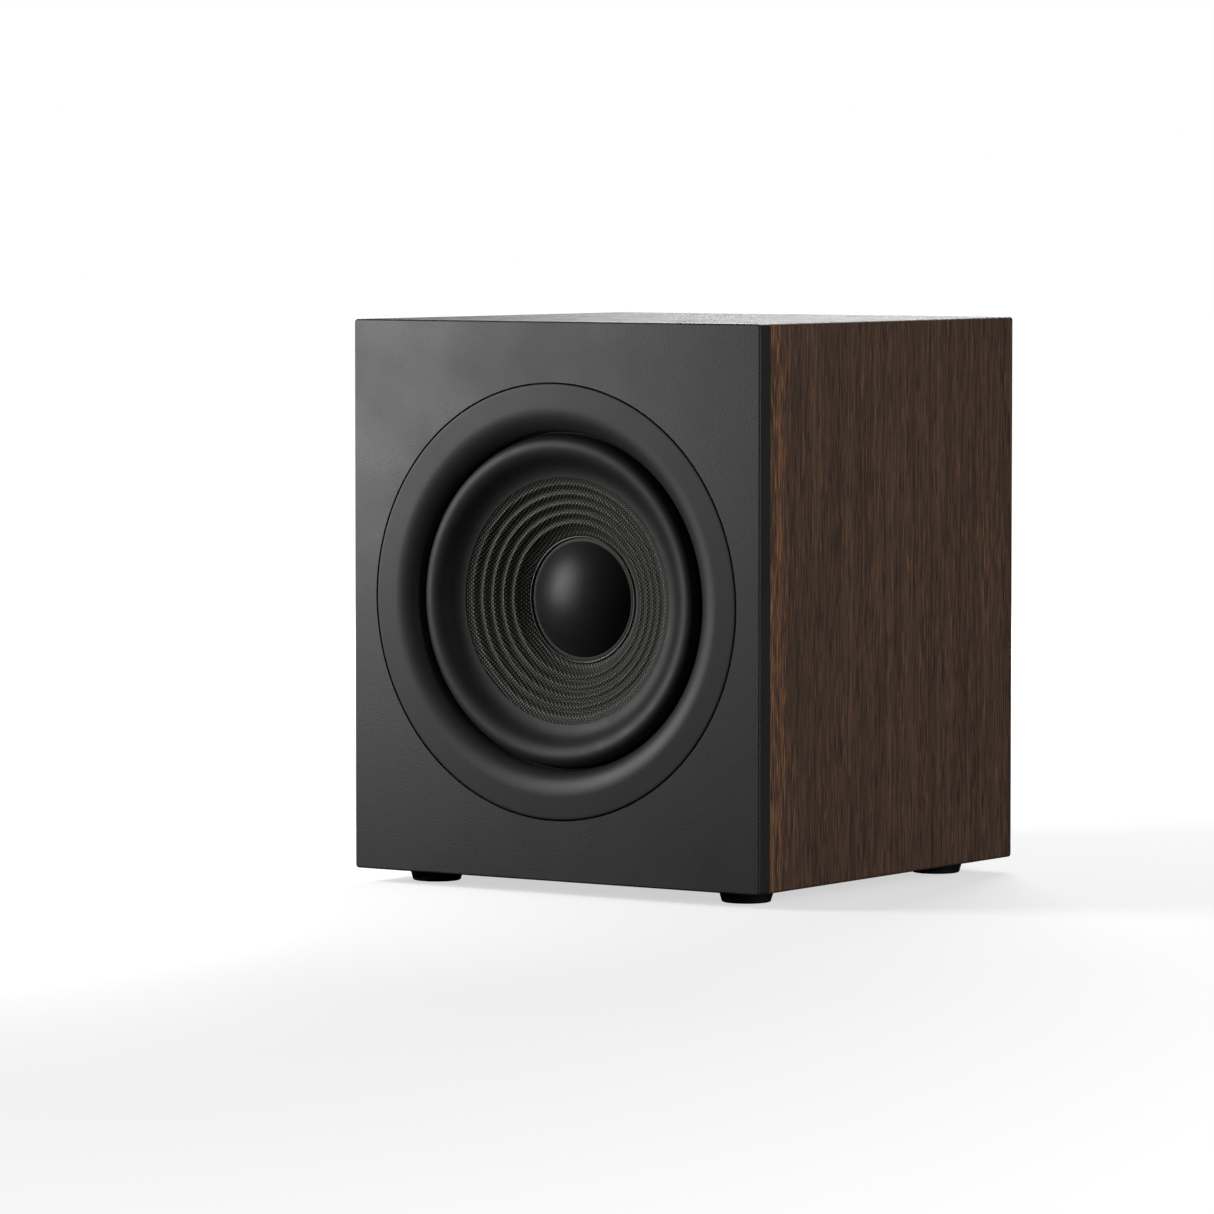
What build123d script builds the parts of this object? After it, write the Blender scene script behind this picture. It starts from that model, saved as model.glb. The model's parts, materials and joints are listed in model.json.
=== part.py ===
from build123d import *

import os
from math import asin, cos, pi, radians, sin, sqrt, tan

os.makedirs("parts", exist_ok=True)

# A compact bookshelf speaker with one wide-range driver, in millimetres.
# +Z is up, the front baffle faces -Y, and X runs across the width.
# The origin is on the shelf, under the middle of the whole box.

# ---------------------------------------------------------------- driving dimensions

cabinet_width = 208.0
cabinet_height = 236.0
cabinet_depth = 200.0  # baffle face to rear panel face
panel = 15.0  # thickness of the veneered board
plate = 8.0  # part of the baffle that stands in front of the veneered wrap
tongue = 10.0  # part of the baffle that sits inside the wrap
corner_radius = 1.5  # long outer corners of the wrap and the baffle
baffle_edge_radius = 0.8
glue_gap = 0.1  # each side, round the parts that sit inside the wrap
slip = 0.1  # radial clearance of a snug round fit
clearance = 0.2  # radial clearance of a screw in its hole
foot_height = 6.0

cup_flange = 2.5  # thickness of the terminal cup's flange
cup_gasket = 0.8
rear_proud = cup_flange + cup_gasket  # rear fittings stand this far off the rear panel

ring_radius = 92.0  # trim ring, outside
ring_thickness = 6.0
ring_mouth_radius = 71.4  # trim ring, inside
ring_flat_radius = 82.5  # where the flat face of the trim ring rolls inwards
ring_lip_depth = 9.0
ring_gap = 0.5
peg_radius = 1.6
peg_circle = 88.0
peg_count = 4

cut_out_radius = 73.5
flange_radius = 84.0  # basket flange
flange_depth = 9.7  # front of the basket flange behind the baffle face
flange_thickness = 2.3
gasket_thickness = 0.5
driver_screw_circle = 79.0
driver_screw_count = 6

roll_radius = 6.4  # half-roll of the surround, outer surface
roll_centre = 64.0
rubber = 0.8
cone_rim_radius = 58.0
cone_rim_depth = 9.8
cone_edge_radius = 52.4  # where the woven part of the cone starts
cone_wall = 0.7
first_ridge_radius = 49.3
first_ridge_depth = 10.8
ridge_pitch = 4.16
ridge_count = 5
ridge_height = 1.0
ridge_slope = 0.418  # depth gained for each millimetre towards the centre
bead_radius = 27.0  # bead round the dust cap
bead_depth = 22.2  # front of the cone under the bead
bead_section = 0.55
cap_edge_radius = 24.6
cap_skirt_radius = 26.2
cap_rise = 9.0
cap_wall = 0.5
neck_radius = 16.2
neck_depth = 29.8

former_wall = 0.2
former_length = 29.0
former_end_depth = 54.5
winding_length = 11.5
winding_thickness = 0.6
spider_land_depth = 36.0
spider_outer_radius = 47.5
top_plate_depth = 45.5
plate_steel = 6.0
magnet_thickness = 15.5
magnet_radius = 45.0
pole_radius = 15.6
pole_vent_radius = 5.0

port_height = 62.0  # port centre above the driver's axis
port_radius = 19.0
port_mouth_radius = 28.0
port_flange_radius = 35.0
port_length = 78.0

cup_drop = 62.0  # terminal cup centre below the driver's axis
cup_width = 76.0  # recess, inside
cup_height = 46.0
cup_depth = 28.5  # flange face to recess floor
cup_wall = 2.2
cup_floor = 3.0
post_spacing = 19.0  # standard spacing of a double banana plug
stud_radius = 3.0
banana_radius = 2.0
banana_length = 15.0
screw_fit = 0.06  # radial clearance of cap and stud
bracket_spacing = 60.0
insert_bore_radius = 2.5  # tapping size of an M6 thread

# ---------------------------------------------------------------- derived places

front_y = -(cabinet_depth + rear_proud) / 2
back_y = -front_y  # rearmost plane: the faces of the rear fittings
wrap_front_y = front_y + plate
rear_face_y = front_y + cabinet_depth
rear_inner_y = rear_face_y - panel
tongue_back = plate + tongue  # depth behind the baffle face
base_z = foot_height
floor_z = base_z + panel  # top of the bottom panel
driver_z = base_z + cabinet_height / 2
inner_width = cabinet_width - 2 * panel
inner_height = cabinet_height - 2 * panel
ceiling_z = floor_z + inner_height
port_z = driver_z + port_height
cup_z = driver_z - cup_drop

backwards = (0, 1, 0)
upwards = (0, 0, 1)
driver_axis = Axis((0, front_y, driver_z), (0, 1, 0))
# Radius runs along this plane's X and depth behind the baffle face along its Y.
driver_section = Plane(origin=(0, front_y, driver_z), x_dir=(1, 0, 0), z_dir=(0, 0, 1))


def upright(y, z=0.0, x=0.0):
    """A plane across the speaker, seen from the front: X to the right and Z up."""
    return Plane(origin=(x, y, z), x_dir=(1, 0, 0), z_dir=(0, -1, 0))


def behind(depth):
    """The upright plane on the driver's axis at a depth behind the baffle face."""
    return upright(front_y + depth, driver_z)


def write(part, name):
    """Label a finished piece and write its STEP file."""
    part.label = name
    export_step(part, f"parts/{name}.step")


# ---------------------------------------------------------------- cabinet wrap

half_w = cabinet_width / 2
half_h = cabinet_height / 2
in_w = half_w - panel
in_h = half_h - panel
foot_x = 80.0
foot_y = 75.0
foot_screw_radius = 1.75
foot_screw_depth = 11.0
board_width = 100.0
board_length = 75.0
board_y = -7.5
board_screw_radius = 1.5
board_screw_spacing_x = 88.0
board_screw_spacing_y = 63.0
pilot_gap = 0.05

# Each panel is one side of the mitred wrap: the ring between the outer and inner
# rectangles, kept where it lies in front of that side's wedge.
wedges = {
    "top_panel": [(-half_w, half_h), (half_w, half_h), (in_w, in_h), (-in_w, in_h)],
    "bottom_panel": [(-half_w, -half_h), (-in_w, -in_h), (in_w, -in_h), (half_w, -half_h)],
    "left_panel": [(-half_w, half_h), (-in_w, in_h), (-in_w, -in_h), (-half_w, -half_h)],
    "right_panel": [(half_w, half_h), (half_w, -half_h), (in_w, -in_h), (in_w, in_h)],
}
for panel_name, wedge in wedges.items():
    with BuildPart() as wrap_panel:
        with BuildSketch(upright(wrap_front_y, driver_z)):
            RectangleRounded(cabinet_width, cabinet_height, corner_radius)
            Rectangle(inner_width, inner_height, mode=Mode.SUBTRACT)
            Polygon(*wedge, align=None, mode=Mode.INTERSECT)
        extrude(amount=rear_face_y - wrap_front_y, dir=backwards)
        if panel_name == "bottom_panel":
            # pilot holes for the feet, from below, and for the filter board, from above
            with BuildSketch(Plane.XY.offset(base_z)):
                with GridLocations(2 * foot_x, 2 * foot_y, 2, 2):
                    Circle(foot_screw_radius + pilot_gap)
            extrude(amount=foot_screw_depth, dir=upwards, mode=Mode.SUBTRACT)
            with BuildSketch(Plane.XY.offset(floor_z - 10.0)):
                with Locations((0, board_y)):
                    with GridLocations(board_screw_spacing_x, board_screw_spacing_y, 2, 2):
                        Circle(board_screw_radius + pilot_gap)
            extrude(amount=10.0, dir=upwards, mode=Mode.SUBTRACT)
    write(wrap_panel.part, panel_name)

# ---------------------------------------------------------------- front baffle

screw_pocket_depth = flange_depth + flange_thickness + gasket_thickness
driver_screw_radius = 2.0
driver_screw_length = 13.0

with BuildPart() as front_baffle:
    with BuildSketch(behind(0)):
        RectangleRounded(cabinet_width, cabinet_height, corner_radius)
    extrude(amount=plate, dir=backwards)
    fillet(front_baffle.faces().sort_by(Axis.Y)[0].edges(), baffle_edge_radius)
    with BuildSketch(behind(plate)):
        Rectangle(inner_width - 2 * glue_gap, inner_height - 2 * glue_gap)
    extrude(amount=tongue, dir=backwards)
    # stepped recess for the trim ring and the basket flange, and the driver's cut-out
    with BuildSketch(behind(0)):
        Circle(ring_radius + ring_gap)
    extrude(amount=ring_thickness, dir=backwards, mode=Mode.SUBTRACT)
    with BuildSketch(behind(ring_thickness)):
        Circle(flange_radius + ring_gap)
    extrude(amount=screw_pocket_depth - ring_thickness, dir=backwards, mode=Mode.SUBTRACT)
    with BuildSketch(behind(0)):
        Circle(cut_out_radius)
    extrude(amount=tongue_back, dir=backwards, mode=Mode.SUBTRACT)
    rear_rim = front_baffle.faces().sort_by(Axis.Y)[-1].edges().filter_by(GeomType.CIRCLE)
    chamfer(rear_rim, 3.0)
    with BuildSketch(behind(ring_thickness)):
        with PolarLocations(peg_circle, peg_count, start_angle=45):
            Circle(peg_radius + pilot_gap)
    extrude(amount=ring_thickness, dir=backwards, mode=Mode.SUBTRACT)
    with BuildSketch(behind(screw_pocket_depth)):
        with PolarLocations(driver_screw_circle, driver_screw_count):
            Circle(driver_screw_radius + pilot_gap)
    extrude(amount=tongue_back - screw_pocket_depth, dir=backwards, mode=Mode.SUBTRACT)
write(front_baffle.part, "front_baffle")

# ---------------------------------------------------------------- rear panel

cup_hole_gap = 0.8
cup_body_width = cup_width + 2 * cup_wall
cup_body_height = cup_height + 2 * cup_wall
cup_body_corner = 6.5
cup_screw_spacing_x = 90.0
cup_screw_spacing_z = 62.0
cup_screw_radius = 1.5
port_body_radius = 28.6
insert_radius = 4.4
insert_length = 13.0
insert_flange_radius = 6.5
insert_flange = 1.0

with BuildPart() as rear_panel:
    with BuildSketch(upright(rear_inner_y, driver_z)):
        Rectangle(inner_width - 2 * glue_gap, inner_height - 2 * glue_gap)
        with Locations((0, port_height)):
            Circle(port_body_radius + ring_gap, mode=Mode.SUBTRACT)
        with Locations((0, -cup_drop)):
            RectangleRounded(
                cup_body_width + 2 * cup_hole_gap,
                cup_body_height + 2 * cup_hole_gap,
                cup_body_corner + cup_hole_gap,
                mode=Mode.SUBTRACT,
            )
            with GridLocations(cup_screw_spacing_x, cup_screw_spacing_z, 2, 2):
                Circle(cup_screw_radius + pilot_gap, mode=Mode.SUBTRACT)
        with GridLocations(bracket_spacing, 0, 2, 1):
            Circle(insert_radius + pilot_gap, mode=Mode.SUBTRACT)
    extrude(amount=panel, dir=backwards)
    with BuildSketch(upright(rear_face_y - insert_flange, driver_z)):
        with GridLocations(bracket_spacing, 0, 2, 1):
            Circle(insert_flange_radius + pilot_gap)
    extrude(amount=insert_flange, dir=backwards, mode=Mode.SUBTRACT)
write(rear_panel.part, "rear_panel")

# Brass inserts that take the screws of a wall bracket.
with BuildPart() as bracket_inserts:
    with BuildSketch(upright(rear_face_y - insert_length, driver_z)):
        with GridLocations(bracket_spacing, 0, 2, 1):
            Circle(insert_radius)
    extrude(amount=insert_length, dir=backwards)
    with BuildSketch(upright(rear_face_y - insert_flange, driver_z)):
        with GridLocations(bracket_spacing, 0, 2, 1):
            Circle(insert_flange_radius)
    extrude(amount=insert_flange, dir=backwards)
    with BuildSketch(upright(rear_face_y - insert_length, driver_z)):
        with GridLocations(bracket_spacing, 0, 2, 1):
            Circle(insert_bore_radius)
    extrude(amount=insert_length, dir=backwards, mode=Mode.SUBTRACT)
write(bracket_inserts.part, "bracket_inserts")

# ---------------------------------------------------------------- brace and damping sheets

brace_depth = 16.0
brace_height = 28.0
brace_y = -2.0
lining = 11.0
lining_gap = 0.5
lining_length = 150.0
lining_height = 186.0
lining_round = 3.0

with BuildPart() as cross_brace:
    with BuildSketch(upright(brace_y - brace_depth / 2, driver_z)):
        Rectangle(inner_width, brace_height)
    extrude(amount=brace_depth, dir=backwards)
    fillet(cross_brace.edges().filter_by(Axis.X), 2.0)
write(cross_brace.part, "cross_brace")

# Side sheets are notched where the brace meets the side panels.
with BuildPart() as damping_sides:
    with Locations((in_w - lining_gap - lining / 2, 0, driver_z)):
        Box(lining, lining_length, lining_height)
    fillet(damping_sides.edges(), lining_round)
    with Locations((in_w, brace_y, driver_z)):
        Box(4 * lining, brace_depth + 2, brace_height + 2, mode=Mode.SUBTRACT)
    mirror(about=Plane.YZ)
write(damping_sides.part, "damping_sides")

with BuildPart() as damping_top:
    with Locations((0, 0, ceiling_z - lining_gap - lining / 2)):
        Box(inner_width - 2 * (lining + lining_round), lining_length - 10, lining)
    fillet(damping_top.edges(), lining_round)
write(damping_top.part, "damping_top")

# ---------------------------------------------------------------- rubber feet

foot_top_radius = 12.0
foot_bottom_radius = 10.5
foot_counterbore_radius = 3.8
foot_counterbore = 3.4
foot_head_radius = 3.4
foot_head = 2.0

foot_places = {
    "foot_front_left": (-foot_x, -foot_y),
    "foot_front_right": (foot_x, -foot_y),
    "foot_rear_left": (-foot_x, foot_y),
    "foot_rear_right": (foot_x, foot_y),
}
for foot_name, (x, y) in foot_places.items():
    with BuildPart() as foot:
        with BuildSketch(Plane(origin=(x, y, 0), x_dir=(1, 0, 0), z_dir=(0, -1, 0))):
            with BuildLine():
                Polyline(
                    (foot_screw_radius + slip, foot_counterbore),
                    (foot_counterbore_radius, foot_counterbore),
                    (foot_counterbore_radius, 0),
                    (foot_bottom_radius - 1, 0),
                )
                RadiusArc((foot_bottom_radius - 1, 0), (foot_bottom_radius, 1), -1)
                Polyline(
                    (foot_bottom_radius, 1),
                    (foot_top_radius, foot_height),
                    (foot_screw_radius + slip, foot_height),
                    (foot_screw_radius + slip, foot_counterbore),
                )
            make_face()
        revolve(axis=Axis((x, y, 0), (0, 0, 1)))
    write(foot.part, foot_name)

with BuildPart() as foot_screws:
    with BuildSketch(Plane.XY.offset(foot_counterbore - foot_head)):
        with GridLocations(2 * foot_x, 2 * foot_y, 2, 2):
            Circle(foot_head_radius)
    extrude(amount=foot_head, dir=upwards)
    with BuildSketch(Plane.XY.offset(foot_counterbore)):
        with GridLocations(2 * foot_x, 2 * foot_y, 2, 2):
            Circle(foot_screw_radius)
    extrude(amount=foot_height - foot_counterbore + foot_screw_depth - 1, dir=upwards)
write(foot_screws.part, "foot_screws")

# ---------------------------------------------------------------- driver: trim ring

ring_edge = 0.6
lip_inner_depth = 8.2
lip_width = 4.0
ring_cavity_depth = 5.6
locating_rib = 1.6
rib_radius = flange_radius + clearance

with BuildPart() as trim_ring:
    with BuildSketch(driver_section):
        with BuildLine():
            EllipticalCenterArc(
                (ring_flat_radius, lip_inner_depth),
                ring_flat_radius - ring_mouth_radius,
                lip_inner_depth,
                start_angle=180,
                arc_size=90,
            )
            Line((ring_flat_radius, 0), (ring_radius - ring_edge, 0))
            RadiusArc((ring_radius - ring_edge, 0), (ring_radius, ring_edge), -ring_edge)
            Polyline(
                (ring_radius, ring_edge),
                (ring_radius, ring_thickness),
                (rib_radius, ring_thickness),
                (rib_radius, ring_lip_depth),
                (rib_radius - locating_rib, ring_lip_depth),
                (rib_radius - locating_rib, ring_cavity_depth),
                (ring_mouth_radius + lip_width, ring_cavity_depth),
                (ring_mouth_radius + lip_width, ring_lip_depth),
                (ring_mouth_radius, ring_lip_depth),
                (ring_mouth_radius, lip_inner_depth),
            )
        make_face()
    revolve(axis=driver_axis)
    # pegs that push into the baffle
    with BuildSketch(behind(ring_thickness)):
        with PolarLocations(peg_circle, peg_count, start_angle=45):
            Circle(peg_radius)
    extrude(amount=ring_thickness - 1, dir=backwards)
write(trim_ring.part, "trim_ring")

# ---------------------------------------------------------------- driver: basket

flange_back = flange_depth + flange_thickness
basket_wall = 2.0
land_back = spider_land_depth + 2.4
window_inner = 53.0
window_outer = 69.5
leg_width = 14.0
strip_rivet_radius = 1.5
strip_rivet_drop = 48.3  # below the driver's axis

with BuildPart() as basket:
    with BuildSketch(driver_section):
        with BuildLine():
            Polyline(
                (71.0, flange_depth),
                (flange_radius, flange_depth),
                (flange_radius, flange_back),
                (73.2, flange_back),
                (73.0, 20.0),
                (51.0, land_back),
                (45.6, land_back),
                (44.4, top_plate_depth),
                (19.0, top_plate_depth),
                (19.0, top_plate_depth - basket_wall),
                (42.4, top_plate_depth - basket_wall),
                (43.4, spider_land_depth),
                (50.2, spider_land_depth),
                (71.0, 19.2),
                close=True,
            )
        make_face()
    revolve(axis=driver_axis)
    # windows between six legs
    with BuildSketch(behind(15)):
        Circle(window_outer)
        Circle(window_inner, mode=Mode.SUBTRACT)
        with PolarLocations((window_inner + window_outer) / 2, 6, start_angle=30):
            Rectangle(window_outer, leg_width, mode=Mode.SUBTRACT)
    extrude(amount=25, dir=backwards, mode=Mode.SUBTRACT)
    with BuildSketch(behind(flange_depth)):
        with PolarLocations(driver_screw_circle, driver_screw_count):
            Circle(driver_screw_radius + clearance)
    extrude(amount=flange_thickness, dir=backwards, mode=Mode.SUBTRACT)
    with BuildSketch(behind(spider_land_depth)):
        with Locations((0, -strip_rivet_drop)):
            Circle(strip_rivet_radius + pilot_gap)
    extrude(amount=5, dir=backwards, mode=Mode.SUBTRACT)
write(basket.part, "basket")

with BuildPart() as basket_gasket:
    with BuildSketch(behind(flange_back)):
        Circle(flange_radius - clearance)
        Circle(cut_out_radius + 0.5, mode=Mode.SUBTRACT)
        with PolarLocations(driver_screw_circle, driver_screw_count):
            Circle(driver_screw_radius + 0.3, mode=Mode.SUBTRACT)
    extrude(amount=gasket_thickness, dir=backwards)
write(basket_gasket.part, "basket_gasket")

screw_head_radius = 3.4
screw_head = 2.2
with BuildPart() as driver_screws:
    with BuildSketch(behind(flange_depth - screw_head)):
        with PolarLocations(driver_screw_circle, driver_screw_count):
            Circle(screw_head_radius)
    extrude(amount=screw_head, dir=backwards)
    chamfer(driver_screws.faces().group_by(Axis.Y)[0].edges(), 0.8)
    with BuildSketch(behind(flange_depth)):
        with PolarLocations(driver_screw_circle, driver_screw_count):
            Circle(driver_screw_radius)
    extrude(amount=driver_screw_length, dir=backwards)
    # cross recesses
    with BuildSketch(behind(flange_depth - screw_head)):
        with PolarLocations(driver_screw_circle, driver_screw_count):
            Rectangle(3.4, 0.7)
            Rectangle(0.7, 3.4)
    extrude(amount=1.3, dir=backwards, mode=Mode.SUBTRACT)
write(driver_screws.part, "driver_screws")

# ---------------------------------------------------------------- driver: magnet system

top_plate_back = top_plate_depth + plate_steel
magnet_back = top_plate_back + magnet_thickness
yoke_back = magnet_back + plate_steel
gap_radius = 17.15

with BuildPart() as top_plate:
    with BuildSketch(behind(top_plate_depth)):
        Circle(magnet_radius - 2)
        Circle(gap_radius, mode=Mode.SUBTRACT)
    extrude(amount=plate_steel, dir=backwards)
    chamfer(top_plate.edges().filter_by(GeomType.CIRCLE).group_by(SortBy.RADIUS)[-1], 0.6)
write(top_plate.part, "top_plate")

with BuildPart() as magnet:
    with BuildSketch(behind(top_plate_back)):
        Circle(magnet_radius)
        Circle(24.0, mode=Mode.SUBTRACT)
    extrude(amount=magnet_thickness, dir=backwards)
    chamfer(magnet.edges().filter_by(GeomType.CIRCLE).group_by(SortBy.RADIUS)[-1], 1.0)
write(magnet.part, "magnet")

with BuildPart() as yoke:
    with BuildSketch(behind(magnet_back)):
        Circle(magnet_radius - 1)
    extrude(amount=plate_steel, dir=backwards)
    with BuildSketch(behind(top_plate_depth - 1)):
        Circle(pole_radius)
    extrude(amount=yoke_back - top_plate_depth + 1, dir=backwards)
    with BuildSketch(behind(top_plate_depth - 1)):
        Circle(pole_vent_radius)
    extrude(amount=yoke_back - top_plate_depth + 1, dir=backwards, mode=Mode.SUBTRACT)
    chamfer(yoke.faces().sort_by(Axis.Y)[-1].edges(), 1.0)
write(yoke.part, "yoke")

# ---------------------------------------------------------------- driver: moving parts

flange_rubber = 0.6
surround_radius = 75.2
surround_flange_front = flange_depth - flange_rubber
roll_inner = roll_centre - roll_radius
roll_outer = roll_centre + roll_radius
inner_flange_front = cone_rim_depth - rubber

# Half-roll surround: an inner flange glued on the cone's rim, a roll, and an outer
# flange glued on the basket.
with BuildPart() as surround:
    with BuildSketch(driver_section):
        with BuildLine():
            Line((cone_edge_radius, inner_flange_front), (roll_inner, inner_flange_front))
            ThreePointArc(
                (roll_inner, inner_flange_front),
                (roll_centre, inner_flange_front - roll_radius),
                (roll_outer, inner_flange_front),
            )
            Polyline(
                (roll_outer, inner_flange_front),
                (roll_outer, surround_flange_front),
                (surround_radius, surround_flange_front),
                (surround_radius, flange_depth),
                (roll_outer - rubber, flange_depth),
                (roll_outer - rubber, inner_flange_front),
            )
            ThreePointArc(
                (roll_outer - rubber, inner_flange_front),
                (roll_centre, inner_flange_front - roll_radius + rubber),
                (roll_inner + rubber, inner_flange_front),
            )
            Polyline(
                (roll_inner + rubber, inner_flange_front),
                (roll_inner + rubber, cone_rim_depth),
                (cone_edge_radius, cone_rim_depth),
                (cone_edge_radius, inner_flange_front),
            )
        make_face()
    revolve(axis=driver_axis)
write(surround.part, "surround")


def ridge_depth(radius):
    """Depth of the line that touches the cone's ridges."""
    return first_ridge_depth + (first_ridge_radius - radius) * ridge_slope


# Front of the corrugated cone from its rim to its neck: a valley outside each ridge,
# and a steeper plain stretch inside the last one.
cone_front = [(cone_edge_radius - 0.6, cone_rim_depth + 0.2)]
for ridge in range(ridge_count):
    ridge_radius = first_ridge_radius - ridge * ridge_pitch
    valley_radius = ridge_radius - ridge_pitch / 2
    cone_front.append((ridge_radius, ridge_depth(ridge_radius)))
    cone_front.append((valley_radius, ridge_depth(valley_radius) + ridge_height))
cone_front.append((bead_radius, bead_depth))
cone_front.append((neck_radius + cone_wall, neck_depth - 1.0))
cone_back = [(radius, depth + cone_wall) for radius, depth in reversed(cone_front)]

with BuildPart() as cone:
    with BuildSketch(driver_section):
        with BuildLine():
            Polyline((cone_rim_radius, cone_rim_depth), cone_front[0])
            Spline(*cone_front)
            Polyline(
                cone_front[-1],
                (neck_radius, neck_depth - 1.0),
                (neck_radius, neck_depth),
                cone_back[0],
            )
            Spline(*cone_back)
            Polyline(
                cone_back[-1],
                (cone_rim_radius, cone_rim_depth + cone_wall),
                (cone_rim_radius, cone_rim_depth),
            )
        make_face()
    revolve(axis=driver_axis)
write(cone.part, "cone")

# Dust cap: a spherical dome of even thickness with a narrow flat skirt on the cone.
cap_skirt_depth = bead_depth
cap_front_depth = cap_skirt_depth - cap_rise
cap_sphere = (cap_edge_radius**2 + cap_rise**2) / (2 * cap_rise)
cap_half_angle = asin(cap_edge_radius / cap_sphere) / 2
cap_middle = (
    cap_sphere * sin(cap_half_angle),
    cap_front_depth + cap_sphere * (1 - cos(cap_half_angle)),
)
with BuildPart() as dust_cap:
    with BuildSketch(driver_section):
        with BuildLine():
            ThreePointArc(
                (0, cap_front_depth),
                cap_middle,
                (cap_edge_radius, cap_skirt_depth),
            )
            Polyline(
                (cap_edge_radius, cap_skirt_depth),
                (cap_skirt_radius, cap_skirt_depth),
                (cap_skirt_radius, cap_skirt_depth + cap_wall / 2),
                (cap_edge_radius, cap_skirt_depth + cap_wall),
            )
            ThreePointArc(
                (cap_edge_radius, cap_skirt_depth + cap_wall),
                (cap_middle[0], cap_middle[1] + cap_wall),
                (0, cap_front_depth + cap_wall),
            )
            Line((0, cap_front_depth + cap_wall), (0, cap_front_depth))
        make_face()
    revolve(axis=driver_axis)
write(dust_cap.part, "dust_cap")

# Bead of adhesive that joins the dust cap to the cone: it wets both of them.
with BuildPart() as cap_bead:
    with BuildSketch(driver_section):
        with Locations((bead_radius - 0.35, bead_depth - bead_section / 2)):
            Circle(bead_section)
    revolve(axis=driver_axis)
write(cap_bead.part, "cap_bead")

with BuildPart() as coil_former:
    with BuildSketch(behind(former_end_depth - former_length)):
        Circle(neck_radius)
        Circle(neck_radius - former_wall, mode=Mode.SUBTRACT)
    extrude(amount=former_length, dir=backwards)
write(coil_former.part, "coil_former")

with BuildPart() as voice_coil:
    with BuildSketch(behind(former_end_depth - 0.5 - winding_length)):
        Circle(neck_radius + winding_thickness)
        Circle(neck_radius, mode=Mode.SUBTRACT)
    extrude(amount=winding_length, dir=backwards)
write(voice_coil.part, "voice_coil")

# Spider: a corrugated cloth disc between the former and the basket.
spider_wall = 0.6
spider_inner_flat = 19.5
spider_outer_flat = 42.3
spider_waves = 5
spider_wave_height = 1.8
spider_front_depth = spider_land_depth - spider_wall
spider_steps = 4 * spider_waves
spider_front = [
    (
        spider_inner_flat + (spider_outer_flat - spider_inner_flat) * step / spider_steps,
        spider_front_depth - spider_wave_height / 2 * sin(2 * pi * spider_waves * step / spider_steps),
    )
    for step in range(spider_steps + 1)
]
spider_rear = [(radius, depth + spider_wall) for radius, depth in reversed(spider_front)]
with BuildPart() as spider:
    with BuildSketch(driver_section):
        with BuildLine():
            Line((neck_radius, spider_front_depth), spider_front[0])
            Spline(*spider_front)
            Polyline(
                spider_front[-1],
                (spider_outer_radius, spider_front_depth),
                (spider_outer_radius, spider_land_depth),
                spider_rear[0],
            )
            Spline(*spider_rear)
            Polyline(
                spider_rear[-1],
                (neck_radius, spider_land_depth),
                (neck_radius, spider_front_depth),
            )
        make_face()
    revolve(axis=driver_axis)
write(spider.part, "spider")

# ---------------------------------------------------------------- wires

corner_share = 0.45


def corner_radii(points):
    """The largest arc for each corner of a route, from its shorter run and its turn."""
    radii = []
    for before, corner, after in zip(points, points[1:], points[2:]):
        run_in = Vector(*corner) - Vector(*before)
        run_out = Vector(*after) - Vector(*corner)
        turn = radians(run_in.get_angle(run_out))
        radii.append(corner_share * min(run_in.length, run_out.length) / tan(turn / 2))
    return radii


def wire(points, radius, name):
    """A round wire along straight runs joined by tangent arcs."""
    radii = corner_radii(points)
    with BuildPart() as tube:
        with BuildLine() as route:
            FilletPolyline(*points, radius=radii)
        start = Vector(*points[0])
        heading = Vector(*points[1]) - start
        with BuildSketch(Plane(origin=start, z_dir=heading)):
            Circle(radius)
        sweep(path=route.wires()[0])
    section = pi * radius**2 * route.wires()[0].length
    print(name, "radii", [round(r, 1) for r in radii], "volume share", tube.part.volume / section)
    return tube.part


# Terminal strip on the basket, with a blade for each wire from the filter.
strip_width = 27.0
strip_top = driver_z - 46.5
strip_bottom = driver_z - 60.0
strip_thickness = 1.6
strip_depth = land_back
blade_x = 9.5
blade_width = 4.8
blade_thickness = 0.8
blade_bottom = driver_z - 68.0
lead_radius = 0.7

with BuildPart() as terminal_strip:
    with BuildSketch(upright(front_y + strip_depth, (strip_top + strip_bottom) / 2)):
        RectangleRounded(strip_width, strip_top - strip_bottom, 1.5)
    extrude(amount=strip_thickness, dir=backwards)
    with BuildSketch(upright(front_y + strip_depth, driver_z - strip_rivet_drop)):
        Circle(strip_rivet_radius + pilot_gap)
    extrude(amount=strip_thickness, dir=backwards, mode=Mode.SUBTRACT)
write(terminal_strip.part, "terminal_strip")

with BuildPart() as strip_rivet:
    with BuildSketch(upright(front_y + spider_land_depth + 0.05, driver_z - strip_rivet_drop)):
        Circle(strip_rivet_radius)
    extrude(amount=strip_depth + strip_thickness - spider_land_depth - 0.05, dir=backwards)
    with BuildSketch(upright(front_y + strip_depth + strip_thickness, driver_z - strip_rivet_drop)):
        Circle(2 * strip_rivet_radius)
    extrude(amount=0.8, dir=backwards)
write(strip_rivet.part, "strip_rivet")

with BuildPart() as driver_blades:
    blade_top = strip_bottom + 7.0
    with BuildSketch(upright(front_y + strip_depth + strip_thickness, (blade_top + blade_bottom) / 2)):
        with GridLocations(2 * blade_x, 0, 2, 1):
            Rectangle(blade_width, blade_top - blade_bottom)
    extrude(amount=blade_thickness, dir=backwards)
write(driver_blades.part, "driver_blades")

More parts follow.
